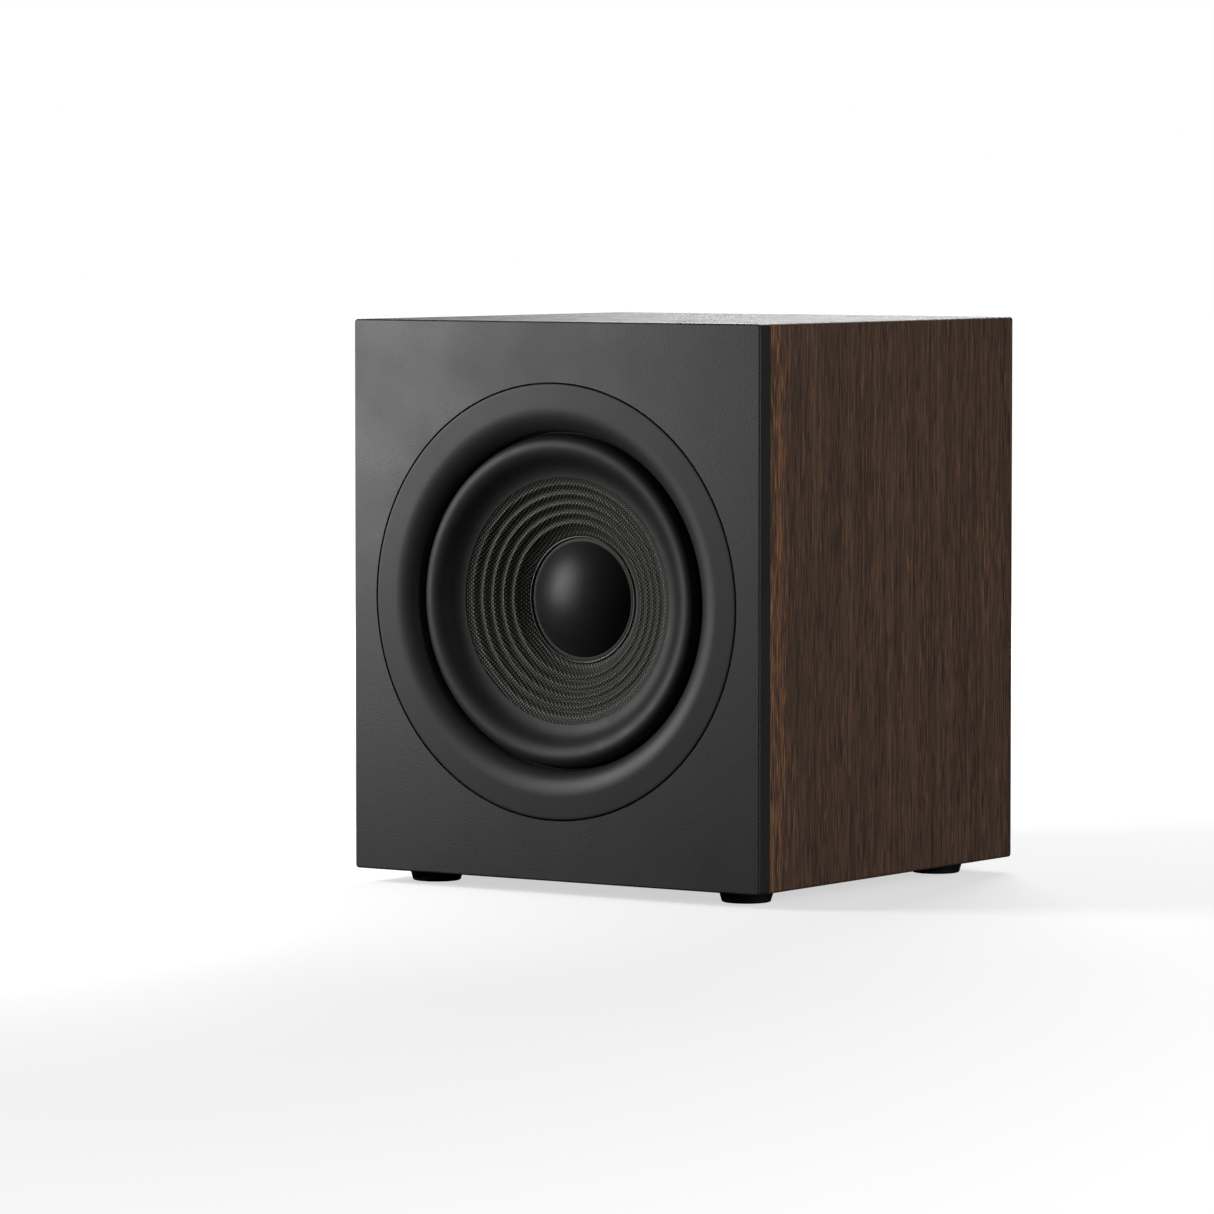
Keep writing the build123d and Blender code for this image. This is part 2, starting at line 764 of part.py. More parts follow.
# Flexible leads from the strip to the back of the cone, slack enough for its travel.
lead_end_radius = 30.0
lead_end_drop = sqrt(lead_end_radius**2 - blade_x**2)
lead_end_depth = 20.4 + cone_wall + 0.4
lead_route = [
    (blade_x, front_y + strip_depth, strip_bottom + 5.5),
    (blade_x, front_y + 32.0, strip_bottom + 5.5),
    (blade_x, front_y + 27.5, strip_bottom + 13.0),
    (blade_x, front_y + 26.5, driver_z - lead_end_drop - 7.0),
    (blade_x, front_y + lead_end_depth, driver_z - lead_end_drop),
]
with BuildPart() as tinsel_leads:
    add(wire(lead_route, lead_radius, "tinsel lead"))
    mirror(about=Plane.YZ)
write(tinsel_leads.part, "tinsel_leads")

# ---------------------------------------------------------------- bass port

port_axis = Axis((0, back_y, port_z), (0, 1, 0))
port_section = Plane(origin=(0, back_y, port_z), x_dir=(1, 0, 0), z_dir=(0, 0, -1))
port_wall = 2.0
flare = port_mouth_radius - port_radius
spigot_length = 30.0
tube_start = 16.0
flange_round = 1.2

# Depth runs along the section plane's Y, from the flange face into the cabinet.
with BuildPart() as port_flare:
    with BuildSketch(port_section):
        with BuildLine():
            RadiusArc((port_radius, flare), (port_mouth_radius, 0), flare)
            Line((port_mouth_radius, 0), (port_flange_radius - flange_round, 0))
            RadiusArc(
                (port_flange_radius - flange_round, 0),
                (port_flange_radius, flange_round),
                -flange_round,
            )
            Polyline(
                (port_flange_radius, flange_round),
                (port_flange_radius, rear_proud),
                (port_body_radius, rear_proud),
                (port_body_radius, 6.0),
                (port_radius + port_wall, 13.5),
                (port_radius + port_wall, spigot_length),
                (port_radius, spigot_length),
                (port_radius, flare),
            )
        make_face()
    revolve(axis=port_axis)
write(port_flare.part, "port_flare")

with BuildPart() as port_tube:
    with BuildSketch(upright(back_y - port_length, port_z)):
        Circle(port_radius + 2 * port_wall + 0.05)
        Circle(port_radius + port_wall + 0.05, mode=Mode.SUBTRACT)
    extrude(amount=port_length - tube_start, dir=backwards)
    fillet(port_tube.faces().sort_by(Axis.Y)[0].edges(), 0.8)
write(port_tube.part, "port_tube")

# ---------------------------------------------------------------- terminal cup

cup_flange_width = 100.0
cup_flange_height = 72.0
cup_flange_corner = 8.0
cup_floor_y = back_y - cup_depth  # face of the recess floor that the posts stand on
post_hole_radius = 4.5
sink_radius = 3.4

with BuildPart() as terminal_cup:
    with BuildSketch(upright(back_y - cup_flange, cup_z)):
        RectangleRounded(cup_flange_width, cup_flange_height, cup_flange_corner)
    extrude(amount=cup_flange, dir=backwards)
    fillet(terminal_cup.faces().sort_by(Axis.Y)[-1].edges(), 0.8)
    with BuildSketch(upright(cup_floor_y - cup_floor, cup_z)):
        RectangleRounded(cup_body_width, cup_body_height, cup_body_corner)
    extrude(amount=cup_depth + cup_floor - cup_flange, dir=backwards)
    with BuildSketch(upright(cup_floor_y, cup_z)):
        RectangleRounded(cup_width, cup_height, cup_body_corner - cup_wall)
    extrude(amount=cup_depth, dir=backwards, mode=Mode.SUBTRACT)
    with BuildSketch(upright(cup_floor_y - cup_floor, cup_z)):
        with GridLocations(post_spacing, 0, 2, 1):
            Circle(post_hole_radius)
    extrude(amount=cup_floor, dir=backwards, mode=Mode.SUBTRACT)
    with BuildSketch(upright(back_y - cup_flange, cup_z)):
        with GridLocations(cup_screw_spacing_x, cup_screw_spacing_z, 2, 2):
            Circle(cup_screw_radius + slip)
    extrude(amount=cup_flange, dir=backwards, mode=Mode.SUBTRACT)
    screw_rims = terminal_cup.edges().filter_by(GeomType.CIRCLE).group_by(Axis.Y)[-1]
    screw_rims = [rim for rim in screw_rims if abs(rim.radius - cup_screw_radius - slip) < 0.01]
    chamfer(screw_rims, sink_radius - cup_screw_radius - slip)
write(terminal_cup.part, "terminal_cup")

with BuildPart() as cup_gasket_sheet:
    with BuildSketch(upright(rear_face_y, cup_z)):
        RectangleRounded(cup_flange_width - 1, cup_flange_height - 1, cup_flange_corner)
        RectangleRounded(
            cup_body_width + 2 * cup_hole_gap,
            cup_body_height + 2 * cup_hole_gap,
            cup_body_corner + cup_hole_gap,
            mode=Mode.SUBTRACT,
        )
        with GridLocations(cup_screw_spacing_x, cup_screw_spacing_z, 2, 2):
            Circle(cup_screw_radius + clearance, mode=Mode.SUBTRACT)
    extrude(amount=cup_gasket, dir=backwards)
write(cup_gasket_sheet.part, "terminal_cup_gasket")

# Countersunk screws, flush with the flange.
cup_screw_length = 15.0
sink_depth = 1.8
with BuildPart() as cup_screws:
    with BuildSketch(upright(back_y - cup_screw_length, cup_z)):
        with GridLocations(cup_screw_spacing_x, cup_screw_spacing_z, 2, 2):
            Circle(cup_screw_radius)
    extrude(amount=cup_screw_length - sink_depth, dir=backwards)
    with BuildSketch(upright(back_y - 0.05, cup_z)) as head_face:
        with GridLocations(cup_screw_spacing_x, cup_screw_spacing_z, 2, 2):
            Circle(cup_screw_radius + sink_depth - 0.05)
    extrude(head_face.sketch, amount=sink_depth - 0.05, taper=45)
    with BuildSketch(upright(back_y - 0.05, cup_z)):
        with GridLocations(cup_screw_spacing_x, cup_screw_spacing_z, 2, 2):
            Rectangle(3.2, 0.6)
            Rectangle(0.6, 3.2)
    extrude(amount=1.2, mode=Mode.SUBTRACT)
write(cup_screws.part, "terminal_cup_screws")

# ---------------------------------------------------------------- binding posts

base_height = 4.0
base_radius = 8.0
stud_top = 24.0  # stud end above the recess floor
wire_hole_height = 6.3
wire_hole_radius = 1.5
tag_thickness = 0.8
nut_height = 5.0
nut_radius = 5.6
washer_thickness = 1.2
washer_radius = 6.6
stand_off = 0.05
cap_start = base_height + washer_thickness + 2 * stand_off
cap_length = 20.7
cap_lip = 1.6
cap_radius = 6.6
cap_shoulder_radius = 7.2
band_start = 13.5
band_length = 4.0
band_radius = 7.0
cap_bevel = 0.8
socket_bevel = 0.4
stud_bevel = 0.5
cap_bore = banana_radius + 0.3
groove_radius = 5.9
tag_tail = 14.0
stud_tail = cup_floor + tag_thickness + nut_height + 3.0


def post_section(x):
    """Radius along X and height above the recess floor along Y, for a post."""
    return Plane(origin=(x, cup_floor_y, cup_z), x_dir=(1, 0, 0), z_dir=(0, 0, 1))


def post_axis(x):
    """The line along a post's middle, pointing out of the recess."""
    return Axis((x, cup_floor_y, cup_z), (0, 1, 0))


post_places = {"black": -post_spacing / 2, "red": post_spacing / 2}

with BuildPart() as terminal_studs:
    for x in post_places.values():
        with BuildSketch(post_section(x)):
            with BuildLine():
                Polyline(
                    (0, -stud_tail),
                    (stud_radius - stud_bevel, -stud_tail),
                    (stud_radius, stud_bevel - stud_tail),
                    (stud_radius, stud_top - stud_bevel),
                    (stud_radius - stud_bevel, stud_top),
                    (banana_radius, stud_top),
                    (banana_radius, stud_top - banana_length),
                    (0, stud_top - banana_length),
                    close=True,
                )
            make_face()
        revolve(axis=post_axis(x))
        with BuildSketch(Plane(origin=(x, cup_floor_y + wire_hole_height, cup_z - 5), z_dir=upwards)):
            Circle(wire_hole_radius)
        extrude(amount=10, dir=upwards, mode=Mode.SUBTRACT)
write(terminal_studs.part, "terminal_studs")

with BuildPart() as terminal_bases:
    for x in post_places.values():
        with BuildSketch(post_section(x)):
            with BuildLine():
                Polyline(
                    (stud_radius + screw_fit, -cup_floor),
                    (post_hole_radius - slip, -cup_floor),
                    (post_hole_radius - slip, 0),
                    (base_radius, 0),
                    (base_radius, base_height - 1),
                    (base_radius - 1, base_height),
                    (stud_radius + screw_fit, base_height),
                    close=True,
                )
            make_face()
        revolve(axis=post_axis(x))
write(terminal_bases.part, "terminal_bases")

for colour, x in post_places.items():
    with BuildPart() as clamp_washer:
        with BuildSketch(upright(cup_floor_y + base_height + stand_off, cup_z, x)):
            Circle(washer_radius)
            Circle(stud_radius + screw_fit, mode=Mode.SUBTRACT)
        extrude(amount=washer_thickness, dir=backwards)
        chamfer(clamp_washer.edges().filter_by(GeomType.CIRCLE).group_by(SortBy.RADIUS)[-1], 0.3)
    write(clamp_washer.part, f"clamp_washer_{colour}")

    with BuildPart() as cap:
        with BuildSketch(post_section(x)):
            with BuildLine():
                Polyline(
                    (stud_radius + screw_fit, cap_start),
                    (cap_shoulder_radius - 0.4, cap_start),
                    (cap_shoulder_radius, cap_start + 0.4),
                    (cap_shoulder_radius, cap_start + 1.6),
                    (cap_radius, cap_start + 2.2),
                    (cap_radius, cap_start + band_start),
                    (groove_radius, cap_start + band_start),
                    (groove_radius, cap_start + band_start + band_length),
                    (cap_radius, cap_start + band_start + band_length),
                    (cap_radius, cap_start + cap_length - cap_bevel),
                    (cap_radius - cap_bevel, cap_start + cap_length),
                    (cap_bore + socket_bevel, cap_start + cap_length),
                    (cap_bore, cap_start + cap_length - socket_bevel),
                    (cap_bore, cap_start + cap_length - cap_lip),
                    (stud_radius + screw_fit, cap_start + cap_length - cap_lip),
                    close=True,
                )
            make_face()
        revolve(axis=post_axis(x))
    write(cap.part, f"screw_cap_{colour}")

    with BuildPart() as band:
        with BuildSketch(upright(cup_floor_y + cap_start + band_start, cup_z, x)):
            Circle(band_radius)
            Circle(groove_radius, mode=Mode.SUBTRACT)
        extrude(amount=band_length, dir=backwards)
        chamfer(band.edges().filter_by(GeomType.CIRCLE).group_by(SortBy.RADIUS)[-1], 0.3)
    write(band.part, f"cap_band_{colour}")

cup_back_y = cup_floor_y - cup_floor
with BuildPart() as solder_tags:
    with BuildSketch(upright(cup_back_y - tag_thickness, cup_z)):
        with GridLocations(post_spacing, 0, 2, 1):
            Circle(nut_radius)
        with Locations((0, -tag_tail / 2)):
            with GridLocations(post_spacing, 0, 2, 1):
                Rectangle(4.5, tag_tail)
        with GridLocations(post_spacing, 0, 2, 1):
            Circle(stud_radius + screw_fit, mode=Mode.SUBTRACT)
    extrude(amount=tag_thickness, dir=backwards)
write(solder_tags.part, "solder_tags")

with BuildPart() as post_nuts:
    with BuildSketch(upright(cup_back_y - tag_thickness - nut_height, cup_z)):
        with GridLocations(post_spacing, 0, 2, 1):
            RegularPolygon(nut_radius, 6)
            Circle(stud_radius + screw_fit, mode=Mode.SUBTRACT)
    extrude(amount=nut_height, dir=backwards)
write(post_nuts.part, "post_nuts")

# ---------------------------------------------------------------- filter

spacer_height = 8.0
spacer_radius = 3.5
board_thickness = 1.6
board_z = floor_z + spacer_height
board_top = board_z + board_thickness
coil_x = -26.0
coil_radius = 20.0
coil_height = 20.0
bobbin_flange = 1.5
bobbin_core_radius = 9.0
bobbin_bore_radius = 6.0
board_screw_grip = 9.0  # length in the bottom panel
tab_x = 12.0
tab_height = 8.0
tab_thickness = 0.8
tab_inset = 4.0
rear_tab_y = board_y + board_length / 2 - tab_inset
front_tab_y = board_y - board_length / 2 + tab_inset

with BuildPart() as filter_board:
    with BuildSketch(Plane.XY.offset(board_z)):
        with Locations((0, board_y)):
            RectangleRounded(board_width, board_length, 3)
            with GridLocations(board_screw_spacing_x, board_screw_spacing_y, 2, 2):
                Circle(board_screw_radius + clearance, mode=Mode.SUBTRACT)
    extrude(amount=board_thickness, dir=upwards)
write(filter_board.part, "filter_board")

with BuildPart() as board_spacers:
    with BuildSketch(Plane.XY.offset(floor_z)):
        with Locations((0, board_y)):
            with GridLocations(board_screw_spacing_x, board_screw_spacing_y, 2, 2):
                Circle(spacer_radius)
                Circle(board_screw_radius + clearance, mode=Mode.SUBTRACT)
    extrude(amount=spacer_height, dir=upwards)
write(board_spacers.part, "board_spacers")

with BuildPart() as board_screws:
    with BuildSketch(Plane.XY.offset(floor_z - board_screw_grip)):
        with Locations((0, board_y)):
            with GridLocations(board_screw_spacing_x, board_screw_spacing_y, 2, 2):
                Circle(board_screw_radius)
    extrude(amount=board_top - floor_z + board_screw_grip, dir=upwards)
    with BuildSketch(Plane.XY.offset(board_top)):
        with Locations((0, board_y)):
            with GridLocations(board_screw_spacing_x, board_screw_spacing_y, 2, 2):
                Circle(2 * board_screw_radius)
    extrude(amount=1.8, dir=upwards)
    fillet(board_screws.faces().group_by(Axis.Z)[-1].edges(), 0.6)
write(board_screws.part, "board_screws")

with BuildPart() as board_tabs:
    with BuildSketch(Plane.XY.offset(board_top)):
        with Locations((0, (rear_tab_y + front_tab_y) / 2)):
            with GridLocations(2 * tab_x, rear_tab_y - front_tab_y, 2, 2):
                Rectangle(6.3, tab_thickness)
    extrude(amount=tab_height, dir=upwards)
write(board_tabs.part, "board_tabs")

with BuildPart() as coil_bobbin:
    with BuildSketch(Plane.XY.offset(board_top)):
        with Locations((coil_x, board_y)):
            Circle(coil_radius)
    extrude(amount=bobbin_flange, dir=upwards)
    with BuildSketch(Plane.XY.offset(board_top)):
        with Locations((coil_x, board_y)):
            Circle(bobbin_core_radius)
    extrude(amount=coil_height, dir=upwards)
    with BuildSketch(Plane.XY.offset(board_top + coil_height - bobbin_flange)):
        with Locations((coil_x, board_y)):
            Circle(coil_radius)
    extrude(amount=bobbin_flange, dir=upwards)
    with BuildSketch(Plane.XY.offset(board_top)):
        with Locations((coil_x, board_y)):
            Circle(bobbin_bore_radius)
    extrude(amount=coil_height, dir=upwards, mode=Mode.SUBTRACT)
write(coil_bobbin.part, "coil_bobbin")

with BuildPart() as filter_coil:
    with BuildSketch(Plane.XY.offset(board_top + bobbin_flange + slip)):
        with Locations((coil_x, board_y)):
            Circle(coil_radius - 1.5)
            Circle(bobbin_core_radius + slip, mode=Mode.SUBTRACT)
    extrude(amount=coil_height - 2 * (bobbin_flange + slip), dir=upwards)
    fillet(filter_coil.edges().filter_by(GeomType.CIRCLE).group_by(SortBy.RADIUS)[-1], 1.0)
write(filter_coil.part, "filter_coil")

capacitor_radius = 8.5
capacitor_length = 32.0
capacitor_x = 12.0
with BuildPart() as capacitor:
    capacitor_end = upright(board_y - capacitor_length / 2, board_top + capacitor_radius + slip, capacitor_x)
    with BuildSketch(capacitor_end):
        Circle(capacitor_radius)
    extrude(amount=capacitor_length, dir=backwards)
    fillet(capacitor.edges().filter_by(GeomType.CIRCLE), 1.0)
write(capacitor.part, "capacitor")

with BuildPart() as resistor:
    with Locations((36, board_y, board_top + 4.6)):
        Box(9.5, 25, 9)
    chamfer(resistor.edges().filter_by(Axis.Y), 0.6)
write(resistor.part, "resistor")

# Insulated wires: terminal tags to the board's rear tabs, and the board's front tabs
# to the driver's blades.
wire_radius = 1.1
tag_face_y = cup_back_y - tag_thickness
blade_y = front_y + strip_depth + strip_thickness + blade_thickness / 2
tab_z = board_top + tab_height - 2.5
for side, colour in ((-1, "black"), (1, "red")):
    post_x = side * post_spacing / 2
    input_route = [
        (post_x, tag_face_y, cup_z - 11.5),
        (post_x, tag_face_y - 12.0, cup_z - 11.5),
        (side * 10.8, tag_face_y - 24.0, tab_z + 5.5),
        (side * tab_x, tag_face_y - 33.0, tab_z),
        (side * tab_x, rear_tab_y + tab_thickness / 2, tab_z),
    ]
    write(wire(input_route, wire_radius, "input wire"), f"input_wire_{colour}")
    output_route = [
        (side * tab_x, front_tab_y - tab_thickness / 2, tab_z),
        (side * tab_x, front_tab_y - 8.0, tab_z),
        (side * 10.6, blade_y + 2.6, tab_z + 5.5),
        (side * blade_x, blade_y, tab_z + 12.5),
        (side * blade_x, blade_y, blade_bottom),
    ]
    write(wire(output_route, wire_radius, "output wire"), f"output_wire_{colour}")
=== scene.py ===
"""Looks of a compact bookshelf speaker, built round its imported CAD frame, in metres."""

import json
import math

import bmesh
import bpy
from mathutils import Matrix, Vector, noise


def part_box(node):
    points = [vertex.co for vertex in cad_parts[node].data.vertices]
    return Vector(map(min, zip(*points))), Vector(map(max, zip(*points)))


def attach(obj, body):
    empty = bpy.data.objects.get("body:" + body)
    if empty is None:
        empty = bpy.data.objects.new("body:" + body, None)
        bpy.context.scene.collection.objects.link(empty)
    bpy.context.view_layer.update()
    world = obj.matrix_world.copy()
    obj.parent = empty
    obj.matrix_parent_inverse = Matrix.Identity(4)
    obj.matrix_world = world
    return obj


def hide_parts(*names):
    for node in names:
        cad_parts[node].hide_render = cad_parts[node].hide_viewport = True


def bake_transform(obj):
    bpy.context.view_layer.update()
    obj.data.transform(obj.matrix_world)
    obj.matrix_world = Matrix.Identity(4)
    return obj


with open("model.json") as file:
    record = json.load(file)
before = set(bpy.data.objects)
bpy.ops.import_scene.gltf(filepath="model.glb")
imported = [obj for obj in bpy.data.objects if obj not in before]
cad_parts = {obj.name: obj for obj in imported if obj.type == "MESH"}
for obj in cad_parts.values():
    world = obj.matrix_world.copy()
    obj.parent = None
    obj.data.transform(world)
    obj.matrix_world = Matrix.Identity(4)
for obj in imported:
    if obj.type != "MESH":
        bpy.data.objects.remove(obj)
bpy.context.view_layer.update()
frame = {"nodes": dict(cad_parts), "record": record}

MM = 0.001
NOISE_ROUGHNESS = 0.55
scene = bpy.context.scene
scene.view_settings.view_transform = "Standard"


def middle(node):
    """The middle of a CAD node's box."""
    low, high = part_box(node)
    return (low + high) / 2


# ---------------------------------------------------------------- node helpers


class Surface:
    """A node material under construction, with object coordinates in millimetres."""

    def __init__(self, name, **sockets):
        self.material = bpy.data.materials.new(name)
        self.material.use_nodes = True
        self.tree = self.material.node_tree
        self.shader = self.tree.nodes["Principled BSDF"]
        for socket, value in sockets.items():
            self.shader.inputs[socket.replace("_", " ")].default_value = value
        coordinates = self.add("ShaderNodeTexCoord")
        self.place = self.stretch(coordinates.outputs["Object"], (1 / MM,) * 3)

    def add(self, kind, **settings):
        node = self.tree.nodes.new(kind)
        for setting, value in settings.items():
            setattr(node, setting, value)
        return node

    def feed(self, socket, value):
        """Links an output to a socket, or sets the socket's own value."""
        if isinstance(value, bpy.types.NodeSocket):
            self.tree.links.new(value, socket)
        else:
            socket.default_value = value

    def stretch(self, vector, scale, shift=(0, 0, 0)):
        node = self.add("ShaderNodeMapping")
        node.inputs["Scale"].default_value = scale
        node.inputs["Location"].default_value = shift
        self.feed(node.inputs["Vector"], vector)
        return node.outputs["Vector"]

    def noise(self, size, detail=3.0, shift=(0, 0, 0)):
        """Noise with features of that size in mm: a number, or one number per axis."""
        sizes = size if isinstance(size, tuple) else (size,) * 3
        vector = self.stretch(self.place, tuple(1 / s for s in sizes), shift)
        node = self.add("ShaderNodeTexNoise")
        node.inputs["Scale"].default_value = 1.0
        node.inputs["Detail"].default_value = detail
        node.inputs["Roughness"].default_value = NOISE_ROUGHNESS
        self.feed(node.inputs["Vector"], vector)
        return node.outputs["Fac"]

    def maths(self, operation, first, second=0.0):
        node = self.add("ShaderNodeMath", operation=operation)
        self.feed(node.inputs[0], first)
        self.feed(node.inputs[1], second)
        return node.outputs[0]

    def plus(self, first, second):
        return self.maths("ADD", first, second)

    def minus(self, first, second):
        return self.maths("SUBTRACT", first, second)

    def times(self, first, second):
        return self.maths("MULTIPLY", first, second)

    def span(self, value, low, high, to_low=0.0, to_high=1.0, smooth=False):
        """Maps a value from one range to another and clamps it."""
        node = self.add("ShaderNodeMapRange")
        if smooth:
            node.interpolation_type = "SMOOTHSTEP"
        for socket, number in zip(range(1, 5), (low, high, to_low, to_high)):
            node.inputs[socket].default_value = number
        self.feed(node.inputs[0], value)
        return node.outputs[0]

    def mix(self, factor, first, second):
        """Mixes two colours."""
        node = self.add("ShaderNodeMix", data_type="RGBA")
        self.feed(node.inputs[0], factor)
        for socket, colour in ((6, first), (7, second)):
            value = colour if isinstance(colour, bpy.types.NodeSocket) else (*colour, 1.0)
            self.feed(node.inputs[socket], value)
        return node.outputs[2]

    def axis(self, name):
        """One of the object coordinates, in mm."""
        node = self.add("ShaderNodeSeparateXYZ")
        self.feed(node.inputs[0], self.place)
        return node.outputs[name]

    def bump(self, height, depth):
        """Bumps the surface: depth in mm for a height of one."""
        node = self.add("ShaderNodeBump")
        node.inputs["Strength"].default_value = 1.0
        node.inputs["Distance"].default_value = depth * MM
        self.feed(node.inputs["Height"], height)
        self.feed(self.shader.inputs["Normal"], node.outputs["Normal"])

    def colour(self, value):
        self.feed(self.shader.inputs["Base Color"], value)

    def roughness(self, value):
        self.feed(self.shader.inputs["Roughness"], value)


materials = {}


def mottled(name, light, dark, grain, rough, bump=0.01, drift=14.0, **sockets):
    """Adds a material whose colour and gloss vary gently, with a fine surface texture.

    grain and drift are the sizes in mm of the fine and the broad variation, rough is the range of the
    roughness, and bump is the depth in mm of the texture.
    """
    surface = Surface(name, **sockets)
    fine = surface.noise(grain, 4.0)
    broad = surface.noise(drift, 2.0, (3.1, 7.7, 1.3))
    spread = surface.plus(surface.times(fine, 0.6), surface.times(broad, 0.4))
    surface.colour(surface.mix(surface.span(spread, 0.32, 0.68), dark, light))
    surface.roughness(surface.span(broad, 0.3, 0.7, rough[0], rough[1]))
    surface.bump(fine, bump)
    materials[name] = surface.material


# ---------------------------------------------------------------- materials

mottled(
    "baffle_paint", (0.027, 0.027, 0.0255), (0.021, 0.021, 0.020), 0.9, (0.43, 0.52),
    0.06, 30.0, Specular_IOR_Level=0.5,
)

front_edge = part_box("left_panel")[0].y / MM


def veneer(name, along):
    """Open-pored veneer whose grain runs along one axis, redder just behind the baffle."""

    def lines(wide, long, detail, shift):
        """Noise drawn out along the grain."""
        size = [wide, wide, wide]
        size["XYZ".index(along)] = long
        return surface.noise(tuple(size), detail, shift)

    surface = Surface(name, Specular_IOR_Level=0.3)
    bands = lines(8.0, 260.0, 2.0, (0, 0, 0))
    figure = lines(0.9, 70.0, 4.0, (11, 5, 2))
    pores = lines(0.62, 14.0, 1.0, (4, 9, 1))
    streaks = lines(0.55, 13.0, 2.0, (7, 3, 8))
    patches = lines(6.0, 60.0, 1.0, (1, 6, 4))
    tone = surface.plus(surface.times(bands, 0.35), surface.times(figure, 0.65))
    base = surface.mix(surface.span(tone, 0.36, 0.64), (0.080, 0.051, 0.037), (0.20, 0.118, 0.078))
    reach = surface.span(surface.axis("Y"), front_edge + 5.0, front_edge + 20.0, 0.12, -0.04, True)
    level = surface.plus(surface.plus(streaks, reach), surface.span(patches, 0.35, 0.7, -0.06, 0.06))
    base = surface.mix(surface.span(level, 0.56, 0.84), base, (0.60, 0.27, 0.125))
    pore = surface.span(pores, 0.5, 0.4)
    surface.colour(surface.mix(surface.times(pore, 0.7), base, (0.030, 0.021, 0.017)))
    surface.roughness(surface.span(pores, 0.35, 0.6, 0.62, 0.46))
    surface.bump(surface.minus(surface.times(figure, 0.4), pore), 0.035)
    return surface.material


materials["dark_veneer"] = veneer("dark_veneer", "Z")
materials["dark_veneer_top"] = veneer("dark_veneer_top", "X")

front_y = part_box("front_baffle")[0].y
driver = Vector((middle("trim_ring").x, front_y, middle("trim_ring").z))

# The cone's pressed rings: radius of the outermost, spacing, and where the rings end, in mm.
ridge_first, ridge_pitch, ridge_last = 49.3, 4.16, 30.58
thread = 0.85  # width of one thread of the cone's cloth, in mm


def woven(name):
    """Coated plain weave, laid flat, with straight threads. The pressed valleys and the gaps between
    threads are coloured darker, as painted shade.
    """
    surface = Surface(name, Specular_IOR_Level=0.2)
    heights = []
    cells = []
    for axis in ("X", "Z"):
        turns = surface.maths("DIVIDE", surface.axis(axis), thread)
        cells.append(surface.maths("FLOOR", turns))
        part = surface.times(surface.maths("FRACT", turns), math.pi)
        heights.append(surface.maths("SINE", part))
    step = surface.maths("FLOORED_MODULO", surface.plus(cells[0], cells[1]), 2.0)
    warp_up = surface.maths("LESS_THAN", step, 0.5)
    weft = surface.times(surface.minus(1.0, warp_up), heights[1])
    height = surface.plus(surface.times(warp_up, heights[0]), weft)
    uneven = surface.noise(1.6, 2.0)
    across = surface.minus(surface.axis("X"), driver.x / MM)
    up = surface.minus(surface.axis("Z"), driver.z / MM)
    reach = surface.maths("SQRT", surface.plus(surface.times(across, across), surface.times(up, up)))
    turn = surface.times(surface.minus(ridge_first, reach), math.pi / ridge_pitch)
    valley = surface.maths("ABSOLUTE", surface.maths("SINE", turn))
    # Painted shade: the pressed valleys are coloured darker than the crests.
    valley_shade = surface.span(valley, 0.1, 0.8, 1.0, 0.34)
    valley_shade_and_tone = surface.times(valley_shade, surface.span(uneven, 0.3, 0.7, 0.75, 1.1))
    # Painted shade: each thread darkens from its crown down to the gaps between threads; the noise adds
    # uneven tone.
    shade = surface.times(height, valley_shade_and_tone)
    warm = surface.mix(shade, (0.008, 0.008, 0.007), (0.33, 0.32, 0.27))
    cool = surface.mix(shade, (0.005, 0.005, 0.005), (0.026, 0.025, 0.023))
    surface.colour(surface.mix(warp_up, cool, warm))
    surface.roughness(surface.span(height, 0.0, 1.0, 0.62, 0.42))
    surface.bump(height, 0.13)
    return surface.material


def wound(name, axis, pitch):
    """Copper wire wound side by side round an axis, at that pitch in mm."""
    surface = Surface(name, Metallic=1.0)
    turns = surface.times(surface.axis(axis), math.pi / pitch)
    height = surface.maths("ABSOLUTE", surface.maths("SINE", turns))
    shade = surface.times(height, surface.noise(3.0))
    surface.colour(surface.mix(shade, (0.32, 0.12, 0.05), (0.72, 0.32, 0.15)))
    surface.roughness(surface.span(height, 0.0, 1.0, 0.55, 0.3))
    surface.bump(height, pitch * 0.3)
    return surface.material


mottled("black_board", (0.024, 0.024, 0.024), (0.016, 0.016, 0.016), 0.9, (0.5, 0.62), 0.09)
mottled("raw_board", (0.30, 0.20, 0.115), (0.20, 0.13, 0.075), (0.5, 0.5, 3.0), (0.8, 0.92), 0.05)
mottled("wadding", (0.62, 0.62, 0.59), (0.42, 0.42, 0.40), (0.5, 3.0, 3.0), (0.9, 1.0), 0.5)
mottled(
    "ring_plastic", (0.020, 0.020, 0.020), (0.017, 0.017, 0.017), 0.3, (0.46, 0.50), 0.004, 25.0,
    Specular_IOR_Level=0.38,
)
mottled(
    "dust_cap_plastic", (0.0145, 0.0145, 0.0145), (0.0115, 0.0115, 0.0115), 0.25, (0.40, 0.44), 0.003, 12.0,
    Specular_IOR_Level=0.26,
)
mottled("bead_adhesive", (0.05, 0.05, 0.05), (0.03, 0.03, 0.03), 0.8, (0.25, 0.34), 0.01)
mottled("basket_paint", (0.022, 0.022, 0.022), (0.015, 0.015, 0.015), 0.4, (0.42, 0.5), 0.03)
mottled(
    "magnet_steel", (0.56, 0.56, 0.55), (0.42, 0.42, 0.42), (0.4, 5.0, 0.4), (0.3, 0.42), 0.006, 20.0,
    Metallic=1.0,
)
mottled("ferrite", (0.075, 0.075, 0.078), (0.05, 0.05, 0.053), 0.5, (0.6, 0.75), 0.03)
mottled(
    "former_metal", (0.62, 0.62, 0.62), (0.5, 0.5, 0.5), (0.3, 4.0, 0.3), (0.3, 0.4), 0.004, Metallic=1.0
)
mottled(
    "black_screws", (0.045, 0.045, 0.047), (0.025, 0.025, 0.027), 0.7, (0.3, 0.42), 0.006, 6.0, Metallic=0.6
)
